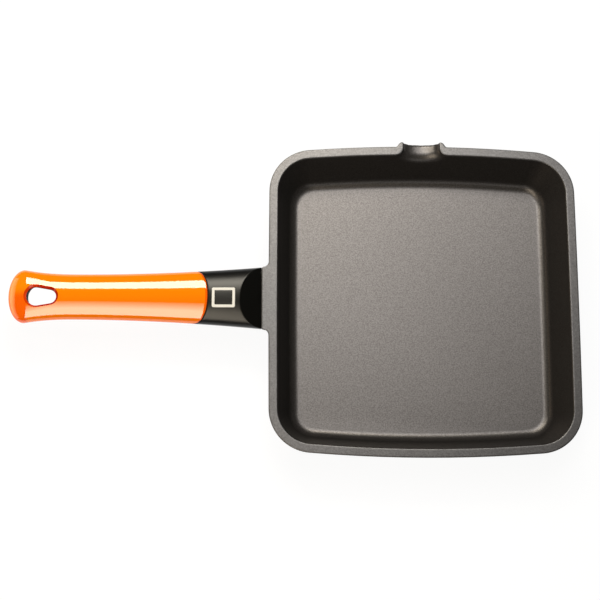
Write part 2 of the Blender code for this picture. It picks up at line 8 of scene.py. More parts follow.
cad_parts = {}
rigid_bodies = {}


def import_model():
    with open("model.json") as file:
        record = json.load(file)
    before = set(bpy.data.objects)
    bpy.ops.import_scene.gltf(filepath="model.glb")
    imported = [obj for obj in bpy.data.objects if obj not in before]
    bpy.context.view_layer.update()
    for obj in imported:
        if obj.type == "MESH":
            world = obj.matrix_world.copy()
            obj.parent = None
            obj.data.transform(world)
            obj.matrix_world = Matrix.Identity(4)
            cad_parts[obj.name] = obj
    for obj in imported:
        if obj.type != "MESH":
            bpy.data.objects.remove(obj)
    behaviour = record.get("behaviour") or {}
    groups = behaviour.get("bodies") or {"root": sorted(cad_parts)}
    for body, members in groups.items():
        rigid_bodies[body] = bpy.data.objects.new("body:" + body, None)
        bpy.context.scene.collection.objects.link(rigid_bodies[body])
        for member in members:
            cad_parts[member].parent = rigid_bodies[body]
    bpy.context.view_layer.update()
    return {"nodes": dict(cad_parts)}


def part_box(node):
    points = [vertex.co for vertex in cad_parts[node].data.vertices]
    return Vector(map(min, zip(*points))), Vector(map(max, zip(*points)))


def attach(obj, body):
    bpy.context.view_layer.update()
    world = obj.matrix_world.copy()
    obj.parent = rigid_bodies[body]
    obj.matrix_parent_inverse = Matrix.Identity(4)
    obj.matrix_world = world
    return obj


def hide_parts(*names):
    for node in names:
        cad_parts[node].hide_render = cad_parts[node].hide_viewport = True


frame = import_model()
nodes = frame["nodes"]
MM = 0.001
scene = bpy.context.scene
scene.view_settings.view_transform = "Standard"


# Studio: a sheet of white paper, a key box beyond the handle and a panel before it, a panel over the far
# right of the pan that is flagged off the handle, and two low cards, at the left and on the near side.
# The camera looks down from 1.1 m above the paper.

def linear(hex_colour):
    """An sRGB hex colour as linear RGBA."""
    channels = []
    for i in (1, 3, 5):
        value = int(hex_colour[i:i + 2], 16) / 255
        channels.append(value / 12.92 if value <= 0.04045 else ((value + 0.055) / 1.055) ** 2.4)
    return (*channels, 1.0)


def add_node(tree, kind, settings=(), links=()):
    """Add a node, set its properties and its inputs, and link inputs from other nodes' sockets."""
    node = tree.nodes.new(kind)
    for name, value in dict(settings).items():
        if isinstance(name, str) and hasattr(node, name):
            setattr(node, name, value)
        else:
            node.inputs[name].default_value = value
    for name, socket in dict(links).items():
        tree.links.new(socket, node.inputs[name])
    return node


def empty_material(name):
    """A node material that holds nothing yet, and its tree."""
    made = bpy.data.materials.new(name)
    made.use_nodes = True
    made.node_tree.nodes.clear()
    return made, made.node_tree


def finish_material(tree, shader):
    """Give the shader to the material's output."""
    add_node(tree, "ShaderNodeOutputMaterial", {}, {"Surface": shader.outputs[0]})


PAPER_SIZE = 20.0
PAPER_WHITENESS = 0.92
WORLD_LEVEL = 0.03
bpy.ops.object.select_all(action="DESELECT")
bpy.ops.mesh.primitive_plane_add(size=PAPER_SIZE)
paper_sheet = bpy.context.object
paper_sheet.name = "paper_sheet"
paper, tree = empty_material("white studio paper")
matt = add_node(tree, "ShaderNodeBsdfDiffuse", {"Color": linear("#ffffff")})
white = add_node(tree, "ShaderNodeEmission", {"Color": linear("#ffffff"), "Strength": 1.0})
path = add_node(tree, "ShaderNodeLightPath")
mirrored = add_node(tree, "ShaderNodeMath", {"operation": "MAXIMUM"},
                    {0: path.outputs["Is Camera Ray"], 1: path.outputs["Is Glossy Ray"]})
seen = add_node(tree, "ShaderNodeMath", {"operation": "MAXIMUM"},
                {0: mirrored.outputs[0], 1: path.outputs["Is Transmission Ray"]})
share = add_node(tree, "ShaderNodeMath", {"operation": "MULTIPLY", 1: PAPER_WHITENESS},
                 {0: seen.outputs[0]})
finish_material(tree, add_node(tree, "ShaderNodeMixShader", {}, {
    0: share.outputs[0], 1: matt.outputs[0], 2: white.outputs[0]}))
paper_sheet.data.materials.append(paper)

scene.world = bpy.data.worlds.new("dim studio")
scene.world.use_nodes = True
background = scene.world.node_tree.nodes["Background"]
background.inputs["Color"].default_value = linear("#ffffff")
background.inputs["Strength"].default_value = WORLD_LEVEL


def soft_box(name, aim, tilt, distance, size, radiance,
             fade=((0.0, 1.0),), across=(0.0, 1.0), tone="#ffffff"):
    """A rectangular lamp that faces its aim from angles off the vertical towards +X and +Y.

    It fades by stops of (place, share of its radiance) along a direction in its own plane.
    """
    lamp = bpy.data.lights.new(name, "AREA")
    lamp.shape = "RECTANGLE"
    lamp.size, lamp.size_y = size
    lamp.energy = radiance * pi * size[0] * size[1]
    lamp.color = linear(tone)[:3]
    lamp.use_nodes = True
    tree = lamp.node_tree
    tree.nodes.clear()
    spot = add_node(tree, "ShaderNodeNewGeometry").outputs["Parametric"]
    start = -min(across[0], 0.0) - min(across[1], 0.0)
    place = add_node(tree, "ShaderNodeVectorMath", {"operation": "DOT_PRODUCT", 1: (*across, 0.0)},
                     {0: spot})
    offset = add_node(tree, "ShaderNodeMath", {"operation": "ADD", 1: start}, {0: place.outputs["Value"]})
    share = add_node(tree, "ShaderNodeValToRGB", {}, {"Fac": offset.outputs[0]})
    stops = share.color_ramp.elements
    stops[1].position = 1.0
    stops[1].color = (fade[-1][1],) * 3 + (1.0,)
    stops[0].position = 0.0
    stops[0].color = (fade[0][1],) * 3 + (1.0,)
    for position, level in fade[1:-1]:
        stops.new(position).color = (level,) * 3 + (1.0,)
    glow = add_node(tree, "ShaderNodeEmission", {}, {"Strength": share.outputs["Color"]})
    add_node(tree, "ShaderNodeOutputLight", {}, {"Surface": glow.outputs["Emission"]})
    holder = bpy.data.objects.new(name, lamp)
    scene.collection.objects.link(holder)
    away = Vector((tan(radians(tilt[0])), tan(radians(tilt[1])), 1.0)).normalized()
    side = Vector((0.0, 1.0, 0.0)).cross(away).normalized()
    turned = Matrix((side, away.cross(side), away)).transposed()
    holder.matrix_world = Matrix.Translation(Vector(aim) + away * distance) @ turned.to_4x4()
    holder.visible_camera = False
    return holder


# The key box mirrors as the grip's white stripe and the near panel as its pale one. The top panel lights
# the pan, and it fades diagonally across its plane.
HANDLE_MIDDLE = (-0.205, 0.0, 0.048)
NEAR_PANEL_FADE = ((0.0, 1.0), (0.62, 1.0), (0.8, 0.6), (1.0, 0.15))
TOP_PANEL_FADE = (
    (0.0, 0.0), (0.13, 0.01), (0.30, 0.13), (0.43, 0.52),
    (0.56, 0.84), (0.65, 0.82), (0.75, 0.55), (1.0, 0.35))
TOP_PANEL_ACROSS = (-0.5, 0.378)
soft_box("key_soft_box", HANDLE_MIDDLE, (0.8, 35.4), 0.70, (0.46, 0.24), 11.5, tone="#fff8e8")
soft_box("near_panel", HANDLE_MIDDLE, (-5.0, -29.0), 0.62, (0.22, 0.66), 6.4,
         NEAR_PANEL_FADE, tone="#fff2dc")
top_panel = soft_box("top_panel", (0.15, 0.31, 0.0), (0.0, 0.0), 1.0, (0.66, 0.68), 10.2,
                     TOP_PANEL_FADE, TOP_PANEL_ACROSS)
soft_box("left_card", (-0.10, 0.0, 0.04), (-80.0, 0.0), 0.62, (0.20, 0.60), 3.0,
         ((0.0, 1.0), (0.4, 0.9), (1.0, 0.3)), (1.0, 0.0), "#ffe6c4")
soft_box("near_card", (0.02, 0.08, 0.02), (6.0, -71.0), 0.62, (0.34, 0.22), 1.0)

flagged = bpy.data.collections.new("flagged from the top panel")
top_panel.light_linking.receiver_collection = flagged


def flag_off(piece):
    """Keep the top panel's light off a piece, as a black flag over the handle does."""
    flagged.objects.link(piece)
    flagged.collection_objects[-1].light_linking.link_state = "EXCLUDE"


SENSOR_WIDTH_MM = 36.0
LENS_MM = 94.38
camera_data = bpy.data.cameras.new("camera")
camera_data.sensor_width = SENSOR_WIDTH_MM
camera_data.lens = LENS_MM
camera = bpy.data.objects.new("camera", camera_data)
scene.collection.objects.link(camera)
camera_place = Vector((-0.11828, -0.24402, 1.12142))
view_right = Vector((0.99960352, -0.0000512, 0.0281567))
view_up = Vector((-0.00611072, 0.97576968, 0.21871485))
view_back = view_right.cross(view_up)
camera.matrix_world = Matrix((
    (view_right.x, view_up.x, view_back.x, camera_place.x),
    (view_right.y, view_up.y, view_back.y, camera_place.y),
    (view_right.z, view_up.z, view_back.z, camera_place.z),
    (0.0, 0.0, 0.0, 1.0)))
scene.camera = camera


# Pan: one gravity casting of aluminium with its spout and the boss for the handle. It is blasted,
# sprayed inside and out with two coats of dark grey non-stick, and stoved to a fine satin grain.

PAN_WIDTH = 220.0 * MM
PAN_DEPTH = 225.2 * MM
RIM_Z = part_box("pan_body")[1].z
CAVITY_DEPTH = 34.4 * MM
RIM_WIDTH = 6.3 * MM
CORNER_RADIUS = 31.0 * MM
END_SIDE_RADIUS = 1020.0 * MM
LONG_SIDE_RADIUS = 9000.0 * MM
WALL_DRAFT = radians(16.5)
CORNER_TIGHTENING = 0.76
FILLET_RADIUS = 6.0 * MM
FLOOR_FILLET_RADIUS = 7.5 * MM
RIM_OUTER_ROUND = 0.5 * MM
RIM_INNER_ROUND = 1.0 * MM
RIM_OVERHANG = RIM_OUTER_ROUND * ((1 + sin(WALL_DRAFT)) / cos(WALL_DRAFT) - 1)
CORNER_STEPS = 20
RIGHT_SIDE_Y = (-0.06, -0.03, 0.0, 0.03, 0.06)
BEAK_REACH = 3.4 * MM
BEAK_HALF_WIDTH = 15.1 * MM
BEAK_BLEND = 2.9 * MM
BEAK_DRAFT = radians(5.0)
BEAK_FULL_DEPTH = 7.0 * MM
BEAK_FADE_DEPTH = 22.0 * MM
SPOUT_REGION = 22.0 * MM
SPOUT_SPACING = 0.55 * MM
TROUGH_HALF_WIDTH = 13.1 * MM
TROUGH_DEPTH = 5.5 * MM
TROUGH_FLARE = 5.2 * MM
TROUGH_SQUARENESS = 2.05
BOSS_REACH = 5.0 * MM
BOSS_HALF_WIDTH = 21.7 * MM
BOSS_SIDE_TAPER = 0.9 * MM
BOSS_FILLET = 4.0 * MM
BOSS_TOP = 1.0 * MM
BOSS_DEPTH = 18.0 * MM
BOSS_SQUARENESS = 2.15
BOSS_EDGE_SHARE = 0.3
BOSS_FACE_X = -PAN_WIDTH / 2 - BOSS_REACH
TONGUE_LENGTH = 28.0 * MM
TONGUE_HALF_WIDTH = 10.0 * MM
TONGUE_TOP = 1.7 * MM
TONGUE_BOTTOM = 7.7 * MM
PLATE_INSET = 27.0 * MM
PLATE_CORNER_RADIUS = 15.0 * MM
POCKET_DEPTH = 1.1 * MM
GAP = 0.3 * MM


def shape_ring(piece, points):
    """Move each selected vertex to the point of its station."""
    mesh = bmesh.from_edit_mesh(piece.data)
    station = mesh.verts.layers.int["station"]
    for vertex in mesh.verts:
        if vertex.select:
            vertex.co = points[vertex[station]]
    bmesh.update_edit_mesh(piece.data)


def turn_outward(piece):
    """In edit mode, make the normals agree and point out of the closed volume."""
    bpy.ops.mesh.select_all(action="SELECT")
    bpy.ops.mesh.normals_make_consistent(inside=False)
    if bmesh.from_edit_mesh(piece.data).calc_volume(signed=True) < 0:
        bpy.ops.mesh.flip_normals()


def skin(name, rings):
    """A circle primitive with numbered vertices, filled, and extruded through every ring."""
    bpy.ops.object.select_all(action="DESELECT")
    bpy.ops.mesh.primitive_circle_add(vertices=len(rings[0]))
    piece = bpy.context.object
    piece.name = name
    station = piece.data.attributes.new("station", "INT", "POINT")
    station.data.foreach_set("value", list(range(len(rings[0]))))
    bpy.ops.object.mode_set(mode="EDIT")
    bpy.ops.mesh.select_all(action="SELECT")
    bpy.ops.mesh.edge_face_add()
    shape_ring(piece, rings[0])
    for ring in rings[1:]:
        bpy.ops.mesh.extrude_region()
        shape_ring(piece, ring)
    turn_outward(piece)
    bpy.ops.object.mode_set(mode="OBJECT")
    piece.data.attributes.remove(piece.data.attributes["station"])
    return piece


def select_faces(piece, wanted):
    """In edit mode, select only the faces whose centre and normal pass the test."""
    bpy.ops.mesh.select_mode(type="FACE")
    bpy.ops.mesh.select_all(action="DESELECT")
    mesh = bmesh.from_edit_mesh(piece.data)
    for face in mesh.faces:
        face.select_set(wanted(face.calc_center_median(), face.normal))
    bmesh.update_edit_mesh(piece.data)


def select_edges(piece, wanted):
    """In edit mode, select only the edges whose middle and fold angle pass the test."""
    bpy.ops.mesh.select_mode(type="EDGE")
    bpy.ops.mesh.select_all(action="DESELECT")
    mesh = bmesh.from_edit_mesh(piece.data)
    for edge in mesh.edges:
        middle = (edge.verts[0].co + edge.verts[1].co) / 2
        edge.select_set(wanted(middle, abs(edge.calc_face_angle_signed(0.0))))
    bmesh.update_edit_mesh(piece.data)


def make_active(piece):
    """Select this piece alone."""
    bpy.ops.object.select_all(action="DESELECT")
    piece.select_set(True)
    bpy.context.view_layer.objects.active = piece


def cut(piece, cutter):
    """Cut one piece with another and throw the cutter away."""
    make_active(piece)
    step = piece.modifiers.new("cut", "BOOLEAN")
    step.operation = "DIFFERENCE"
    step.solver = "MANIFOLD"
    step.object = cutter
    bpy.ops.object.modifier_apply(modifier=step.name)
    bpy.data.objects.remove(cutter)


def finish_piece(piece, look, node=None):
    """Give the piece its one material and its place in the frame."""
    piece.data.materials.clear()
    piece.data.materials.append(look)
    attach(piece, "root")
    if node:
        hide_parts(node)


def rounded_path(corners):
    """Points along a path whose inner corners are rounded: (position, radius, steps)."""
    path = [Vector(corners[0][0])]
    for before, corner, after in zip(corners, corners[1:], corners[2:]):
        middle, radius, steps = Vector(corner[0]), corner[1], corner[2]
        back = (Vector(before[0]) - middle).normalized()
        ahead = (Vector(after[0]) - middle).normalized()
        half = back.angle(ahead) / 2
        centre = middle + (back + ahead).normalized() * radius / sin(half)
        start = middle + back * radius / tan(half) - centre
        end = middle + ahead * radius / tan(half) - centre
        turn = atan2(start.x * end.y - start.y * end.x, start.dot(end))
        for i in range(steps + 1):
            angle = turn * i / steps
            path.append(centre + Vector((
                start.x * cos(angle) - start.y * sin(angle),
                start.x * sin(angle) + start.y * cos(angle))))
    path.append(Vector(corners[-1][0]))
    return path


def smooth_step(value):
    """Ease from 0 to 1."""
    value = min(max(value, 0.0), 1.0)
    return value * value * (3 - 2 * value)


def wall_inset(depth):
    """How far the outer wall has drawn in at a depth below the rim."""
    return depth * tan(WALL_DRAFT) - RIM_OVERHANG


def beak_bulge(x, depth):
    """How far the spout's beak stands out of the far wall."""
    across = 1 - smooth_step((abs(x) - BEAK_HALF_WIDTH) / BEAK_BLEND)
    fade = 1 - smooth_step((depth - BEAK_FULL_DEPTH) / (BEAK_FADE_DEPTH - BEAK_FULL_DEPTH))
    return (BEAK_REACH + depth * (tan(WALL_DRAFT) - tan(BEAK_DRAFT))) * across * fade


def boss_stations(depth):
    """Places along the left side as (y, reach in the fillet, share of the full reach).

    The boss is the lower half of an oval with a fillet all round, so it narrows with depth.
    """
    down = min(max(depth - BOSS_TOP, 0.0) / (BOSS_DEPTH - BOSS_TOP), 1.0)
    half = max(BOSS_HALF_WIDTH * (1 - down ** BOSS_SQUARENESS) ** (1 / BOSS_SQUARENESS), MM)
    below = max(depth - BOSS_DEPTH, 0.0)

    def fillet(off):
        inside = max(BOSS_FILLET - off, 0.0)
        return BOSS_FILLET - sqrt(BOSS_FILLET ** 2 - inside ** 2)

    stations = []
    for i in range(9):
        off = BOSS_FILLET * (1 - sin(pi / 2 * i / 8))
        stations.append((half + BOSS_SIDE_TAPER + off, fillet(sqrt(off ** 2 + below ** 2)), 0.0))
    shoulder = ((1.02, 0.90), (1.008, 0.97), (0.995, 0.995), (0.98, 1.0), (0.75, 1.0))
    for place, share in shoulder:
        stations.append((half * place, fillet(below), 0.0 if below else share))
    for limit, place in ((TONGUE_HALF_WIDTH, 0.6), (TONGUE_HALF_WIDTH / 2, 0.3), (0.0, 0.0)):
        stations.append((min(limit, half * place), fillet(below), 0.0 if below else 1.0))
    return stations + [(-y, fixed, part) for y, fixed, part in reversed(stations[:-1])]


def pan_ring(inset, depth, corner_radius, beak=0.0, boss=0.0):
    """The pan's outline at one level, anticlockwise, with shares of the beak and of the boss."""
    half_x, half_y = PAN_WIDTH / 2 - inset, PAN_DEPTH / 2 - inset
    side_arc, end_arc = LONG_SIDE_RADIUS - inset, END_SIDE_RADIUS - inset
    corner_x, corner_y = half_x - corner_radius, half_y - corner_radius
    for _ in range(8):
        corner_x = half_x - side_arc + sqrt((side_arc - corner_radius) ** 2 - corner_y ** 2)
        corner_y = half_y - end_arc + sqrt((end_arc - corner_radius) ** 2 - corner_x ** 2)

    def side_x(y):
        return half_x - side_arc + sqrt(side_arc ** 2 - y ** 2)

    def end_y(x):
        return half_y - end_arc + sqrt(end_arc ** 2 - x ** 2)

    side_tilt = atan2(corner_y, corner_x - half_x + side_arc)
    end_tilt = atan2(corner_x, corner_y - half_y + end_arc)
    corner = []
    for i in range(CORNER_STEPS + 1):
        angle = side_tilt + (pi / 2 - end_tilt - side_tilt) * i / CORNER_STEPS
        corner.append((corner_x + corner_radius * cos(angle), corner_y + corner_radius * sin(angle)))

    count = round(SPOUT_REGION / SPOUT_SPACING)
    spout = [SPOUT_REGION * i / count for i in range(count, -count - 1, -1)]
    flank = [corner_x * share for share in (0.85, 0.7, 0.55, 0.4)]
    far = flank + spout + [-x for x in reversed(flank)]
    near = [corner_x * share for share in (-0.8, -0.6, -0.4, -0.2, 0.0, 0.2, 0.4, 0.6, 0.8)]
    rounding = inset - wall_inset(depth)
    left = []
    for y, fixed, part in boss_stations(depth if boss else 0.0):
        reach = max(fixed, part * (-BOSS_FACE_X - BOSS_EDGE_SHARE * rounding - side_x(y)))
        left.append((-side_x(y) - boss * reach, y))

    outline = [(side_x(y), y) for y in RIGHT_SIDE_Y] + corner
    outline += [(x, end_y(x) + beak * beak_bulge(x, depth)) for x in far]
    outline += [(-x, y) for x, y in reversed(corner)]
    outline += left
    outline += [(-x, -y) for x, y in corner]
    outline += [(x, -end_y(x)) for x in near]
    outline += [(x, -y) for x, y in reversed(corner)]
    return [(x, y, RIM_Z - depth) for x, y in outline]


def outer_ring(inset, depth, beak=1.0, boss=1.0):
    """A ring of the outside, whose corner gets tighter towards the underside."""
    return pan_ring(inset, depth, CORNER_RADIUS - CORNER_TIGHTENING * inset, beak, boss)


def inner_ring(inset, depth):
    """A ring of the cavity, whose corner gets tighter towards the floor."""
    tightening = CORNER_TIGHTENING * (inset - RIM_WIDTH)
    return pan_ring(inset, depth, CORNER_RADIUS - RIM_WIDTH - tightening)


def pan_rings():
    """Every ring from the base plate's pocket, up the outside, over the rim and down to the floor."""
    middle = RIM_WIDTH / 2
    outer = rounded_path([
        ((PLATE_INSET - GAP, RIM_Z),),
        ((wall_inset(RIM_Z), RIM_Z), FILLET_RADIUS, 8),
        ((-RIM_OVERHANG, 0.0), RIM_OUTER_ROUND, 5),
        ((middle, 0.0),)])[1:-1]
    inner = rounded_path([
        ((middle, 0.0),),
        ((RIM_WIDTH, 0.0), RIM_INNER_ROUND, 4),
        ((RIM_WIDTH + CAVITY_DEPTH * tan(WALL_DRAFT), CAVITY_DEPTH), FLOOR_FILLET_RADIUS, 12),
        ((PAN_WIDTH / 4, CAVITY_DEPTH),)])[1:-1]
    pocket = PLATE_INSET - GAP
    pocket_corner = PLATE_CORNER_RADIUS + GAP
    rings = [
        pan_ring(pocket + MM, RIM_Z - POCKET_DEPTH, pocket_corner - MM),
        pan_ring(pocket, RIM_Z - POCKET_DEPTH, pocket_corner),
        pan_ring(pocket, RIM_Z, pocket_corner)]
    rings += [outer_ring(p.x, p.y, 1.0, 0.0) for p in outer[:9]]

    below_boss = [28.0, 24.5]
    boss_foot = [22.0, 21.0, 20.0, 19.2, 18.6, 18.2, 18.01]
    boss_body = [17.95, 17.7, 17.2, 16.3, 15.1, 13.6, 11.9, 10.0]
    boss_root = [TONGUE_BOTTOM / MM, 5.7, 3.7, TONGUE_TOP / MM]
    for depth in below_boss + boss_foot + boss_body + boss_root:
        boss = 0.0 if depth in below_boss else 1.0
        rings.append(outer_ring(wall_inset(depth * MM), depth * MM, 1.0, boss))
    rings += [outer_ring(p.x, p.y) for p in outer[9:]]

    first, last = outer[-1].x, inner[0].x
    for i in range(1, 8):
        share = i / 8
        inset = first + (last - first) * share
        rings.append(outer_ring(inset, 0.0, 1 - share, 1 - share))
    rings += [inner_ring(p.x, p.y) for p in inner[:5]]
    wall_depths = [0.9 * MM * i for i in range(2, 15)] + [16 * MM, 20 * MM, 24 * MM]
    for depth in wall_depths:
        rings.append(inner_ring(RIM_WIDTH + depth * tan(WALL_DRAFT), depth))
    rings += [inner_ring(p.x, p.y) for p in inner[5:]]
    return rings


def trough_ring(station, flare):
    """One section of the trough: a rounded U under an open top, leaning with the wall."""
    half_width, depth = TROUGH_HALF_WIDTH + flare, TROUGH_DEPTH + flare
    steps = 40
    ring = [(half_width, TROUGH_DEPTH), (-half_width, TROUGH_DEPTH)]
    for i in range(steps + 1):
        angle = pi * i / steps
        across = abs(cos(angle)) ** (2 / TROUGH_SQUARENESS) * (-1 if angle < pi / 2 else 1)
        down = sin(angle) ** (2 / TROUGH_SQUARENESS) if 0 < i < steps else 0.0
        ring.append((half_width * across, -depth * down))
    wall_y = PAN_DEPTH / 2 - RIM_WIDTH
    return [(x, wall_y + station + z * tan(WALL_DRAFT), RIM_Z + z) for x, z in ring]


def trough_rings():
    """The trough from beyond the beak to the cavity, where it opens like the mouth of a trumpet."""
    far_end = RIM_WIDTH + BEAK_REACH + TROUGH_DEPTH
    steps = 8
    rings = [trough_ring(far_end + (TROUGH_FLARE - far_end) * i / steps, 0.0) for i in range(steps)]
    last = radians(80)
    steps = 14
    for i in range(steps + 1):
        angle = last * i / steps
        rings.append(trough_ring(TROUGH_FLARE * (1 - sin(angle)), TROUGH_FLARE * (1 - cos(angle))))
    run_out = TROUGH_FLARE / 7
    flare = TROUGH_FLARE * (1 - cos(last)) + run_out * tan(last)
    rings.append(trough_ring(TROUGH_FLARE * (1 - sin(last)) - run_out, flare))
    return rings


pan = skin("cast_pan", pan_rings())
cut(pan, skin("trough", trough_rings()))
bpy.ops.object.mode_set(mode="EDIT")
bpy.ops.mesh.select_all(action="SELECT")
bpy.ops.mesh.remove_doubles(threshold=0.05 * MM)
near_spout_y = PAN_DEPTH / 2 - 3 * RIM_WIDTH
select_edges(pan, lambda middle, fold: (
    fold > radians(28) and middle.y > near_spout_y and abs(middle.x) < SPOUT_REGION
    and middle.z > RIM_Z - 2 * TROUGH_DEPTH - 2 * TROUGH_FLARE))
bpy.ops.mesh.select_mode(type="VERT")
bpy.ops.mesh.select_more()
bpy.ops.mesh.vertices_smooth(factor=0.5, repeat=6)
select_faces(pan, lambda centre, normal: (
    centre.x < BOSS_FACE_X + 0.1 * MM and abs(centre.y) < TONGUE_HALF_WIDTH
    and TONGUE_TOP < RIM_Z - centre.z < TONGUE_BOTTOM))
bpy.ops.mesh.extrude_region_move(TRANSFORM_OT_translate={"value": (-TONGUE_LENGTH, 0.0, 0.0)})
bpy.ops.object.mode_set(mode="OBJECT")
bpy.ops.object.shade_smooth_by_angle(angle=radians(32))

# Two stoved coats of dark grey non-stick: a satin skin with a metallic glint that picks up the lamps. Its
# grey is warmer in the cavity than along the top of the rim, a painted tint of warm light on the floor.
# The grain of the blasted metal below it is drawn at 0.9 mm where the real one is finer.
coating, tree = empty_material("stoved non-stick coating")
place = add_node(tree, "ShaderNodeTexCoord").outputs["Object"]
GRAIN_SIZE = 0.9 * MM
grain = add_node(tree, "ShaderNodeTexNoise",
                 {"Scale": 1 / GRAIN_SIZE, "Detail": 2.0, "Roughness": 0.6}, {"Vector": place})
tint = add_node(tree, "ShaderNodeValToRGB", {}, {"Fac": grain.outputs["Fac"]})
tint.color_ramp.elements[0].position = 0.3
tint.color_ramp.elements[0].color = linear("#423f3d")
tint.color_ramp.elements[1].position = 0.7
tint.color_ramp.elements[1].color = linear("#575452")
bump = add_node(tree, "ShaderNodeBump", {"Strength": 0.25, "Distance": 0.02 * MM},
                {"Height": grain.outputs["Fac"]})
height = add_node(tree, "ShaderNodeSeparateXYZ", {}, {"Vector": place}).outputs["Z"]
# Painted light: below the rim the grey keeps its full warm saturation, and along the rim's top it is
# purer.
cavity_light_tint = add_node(tree, "ShaderNodeMapRange", {
    "From Min": RIM_Z - 3 * MM, "From Max": RIM_Z - 0.5 * MM, "To Min": 1.0, "To Max": 0.6},
    {"Value": height})
grey = add_node(tree, "ShaderNodeHueSaturation", {}, {
    "Color": tint.outputs["Color"], "Saturation": cavity_light_tint.outputs["Result"]})
finish_material(tree, add_node(tree, "ShaderNodeBsdfPrincipled", {
    "Metallic": 0.8, "Roughness": 0.35, "IOR": 1.5, "Specular Tint": linear("#a0a0a0")},
    {"Base Color": grey.outputs["Color"], "Normal": bump.outputs["Normal"]}))
finish_piece(pan, coating, "pan_body")


# Induction plate: punched sheet of ferritic stainless steel, pressed into the casting so that pips of
# aluminium fill its holes. The underside is then turned flat, which leaves the fine lines.

PIP_RADIUS = 2.8 * MM
PLATE_HOLE_PITCH = 19.5 * MM
PLATE_HOLES_PER_ROW = 8
PIP_LOW = 0.05 * MM
PIP_EDGE = 0.15 * MM
PIP_MIDDLE_RADIUS = 0.1 * MM
PIP_POINTS = 24


def circle_ring(radius, z, centre_x=0.0, centre_y=0.0, points=48):
    """A level circle as a ring for the skin."""
    turns = [2 * pi * i / points for i in range(points)]
    return [(centre_x + radius * cos(turn), centre_y + radius * sin(turn), z) for turn in turns]


first_pip = -(PLATE_HOLES_PER_ROW - 1) * PLATE_HOLE_PITCH / 2
pip_profile = (
    (PIP_MIDDLE_RADIUS, PIP_LOW), (PIP_RADIUS - PIP_EDGE, PIP_LOW),
    (PIP_RADIUS, PIP_LOW + PIP_EDGE), (PIP_RADIUS, POCKET_DEPTH - PIP_LOW))
pips = skin("aluminium_pips", [
    circle_ring(radius, z, first_pip, first_pip, PIP_POINTS) for radius, z in pip_profile])
for axis in (0, 1):
    repeat = pips.modifiers.new("row", "ARRAY")
    repeat.count = PLATE_HOLES_PER_ROW
    repeat.use_relative_offset = False
    repeat.use_constant_offset = True
    repeat.constant_offset_displace = [PLATE_HOLE_PITCH if i == axis else 0.0 for i in range(3)]
    bpy.ops.object.modifier_apply(modifier=repeat.name)
bpy.ops.object.shade_smooth_by_angle(angle=radians(30))

# Bare steel off the lathe: a grey metal with turning lines, drawn 0.5 mm apart, coarser than real ones.
# The wave node's lines are 0.31416 apart at a scale of 1.
steel, tree = empty_material("turned ferritic stainless steel")
place = add_node(tree, "ShaderNodeTexCoord").outputs["Object"]
TURNING_PITCH = 0.5 * MM
WAVE_PERIOD = 0.31416
lines = add_node(tree, "ShaderNodeTexWave", {
    "wave_type": "RINGS", "rings_direction": "Z", "Scale": WAVE_PERIOD / TURNING_PITCH, "Distortion": 0.0,
    "Detail": 0.0}, {"Vector": place})
worn = add_node(tree, "ShaderNodeMapRange", {"To Min": 0.28, "To Max": 0.40},
                {"Value": lines.outputs["Fac"]})
bump = add_node(tree, "ShaderNodeBump", {"Strength": 0.3, "Distance": 0.02 * MM},
                {"Height": lines.outputs["Fac"]})
finish_material(tree, add_node(tree, "ShaderNodeBsdfPrincipled", {
    "Base Color": linear("#c2c2c4"), "Metallic": 1.0},
    {"Roughness": worn.outputs["Result"], "Normal": bump.outputs["Normal"]}))
plate = nodes["induction_plate"]
for i in range(len(plate.data.materials)):
    plate.data.materials[i] = steel

# Aluminium off the same lathe: paler and softer than the steel round it.
aluminium, tree = empty_material("turned aluminium")
finish_material(tree, add_node(tree, "ShaderNodeBsdfPrincipled", {
    "Base Color": linear("#d8d8d6"), "Metallic": 1.0, "Roughness": 0.38}))
finish_piece(pips, aluminium)


# Handle core: one black phenolic moulding, pressed hot in a sparked tool, so it has a fine matt skin.
# Its thick end shows between the boss and the grip, with a slanted facet; the rest runs inside the grip.

HANDLE_START_X = BOSS_FACE_X - GAP
END_JOINT = 0.03 * MM
HANDLE_Z = RIM_Z - 1.0 * MM
HANDLE_LENGTH = 177.3 * MM
PAN_END_WIDTH = 44.0 * MM
WAIST_WIDTH = 32.3 * MM
BUTT_WIDTH = 37.7 * MM
WAIST_AT = 130.0 * MM
BUTT_WIDEST_AT = 166.1 * MM
CREASE_SET_BACK = 1.0 * MM
BUTT_CREASE_POWER = 0.6
PAN_END_RISE = 8.8 * MM
WAIST_RISE = 7.4 * MM
PAN_END_DROP = 18.0 * MM
WAIST_DROP = 9.0 * MM
FERRULE_TAPER_POWER = 1.9
BUTT_FLARE_POWER = 2.3
SECTION_SQUARENESS = 2.15
BUTT_SQUARENESS = 2.65
BUTT_SQUARES_FROM = 146.0 * MM
SECTION_POINTS = 128
FACET_LENGTH = 15.0 * MM
FACET_RISE = 7.5 * MM
FACET_SKEW = 0.07
JOINT_SIDE_AT = 45.7 * MM
JOINT_SLOPE = 1.103
SHELL_WALL = 2.2 * MM
SCREW_X = BOSS_FACE_X - 17.0 * MM
SEAT_Z = 29.5 * MM
WELL_RADIUS = 5.6 * MM
WELL_MOUTH_Z = 15.0 * MM
BORE_RADIUS = 2.8 * MM
TONGUE_TOP_Z = RIM_Z - TONGUE_TOP
TONGUE_BOTTOM_Z = RIM_Z - TONGUE_BOTTOM


def crease_at(turn):
    """Where the butt's dome starts, at an angle round the section."""
    return BUTT_WIDEST_AT - CREASE_SET_BACK * max(sin(turn), 0.0)


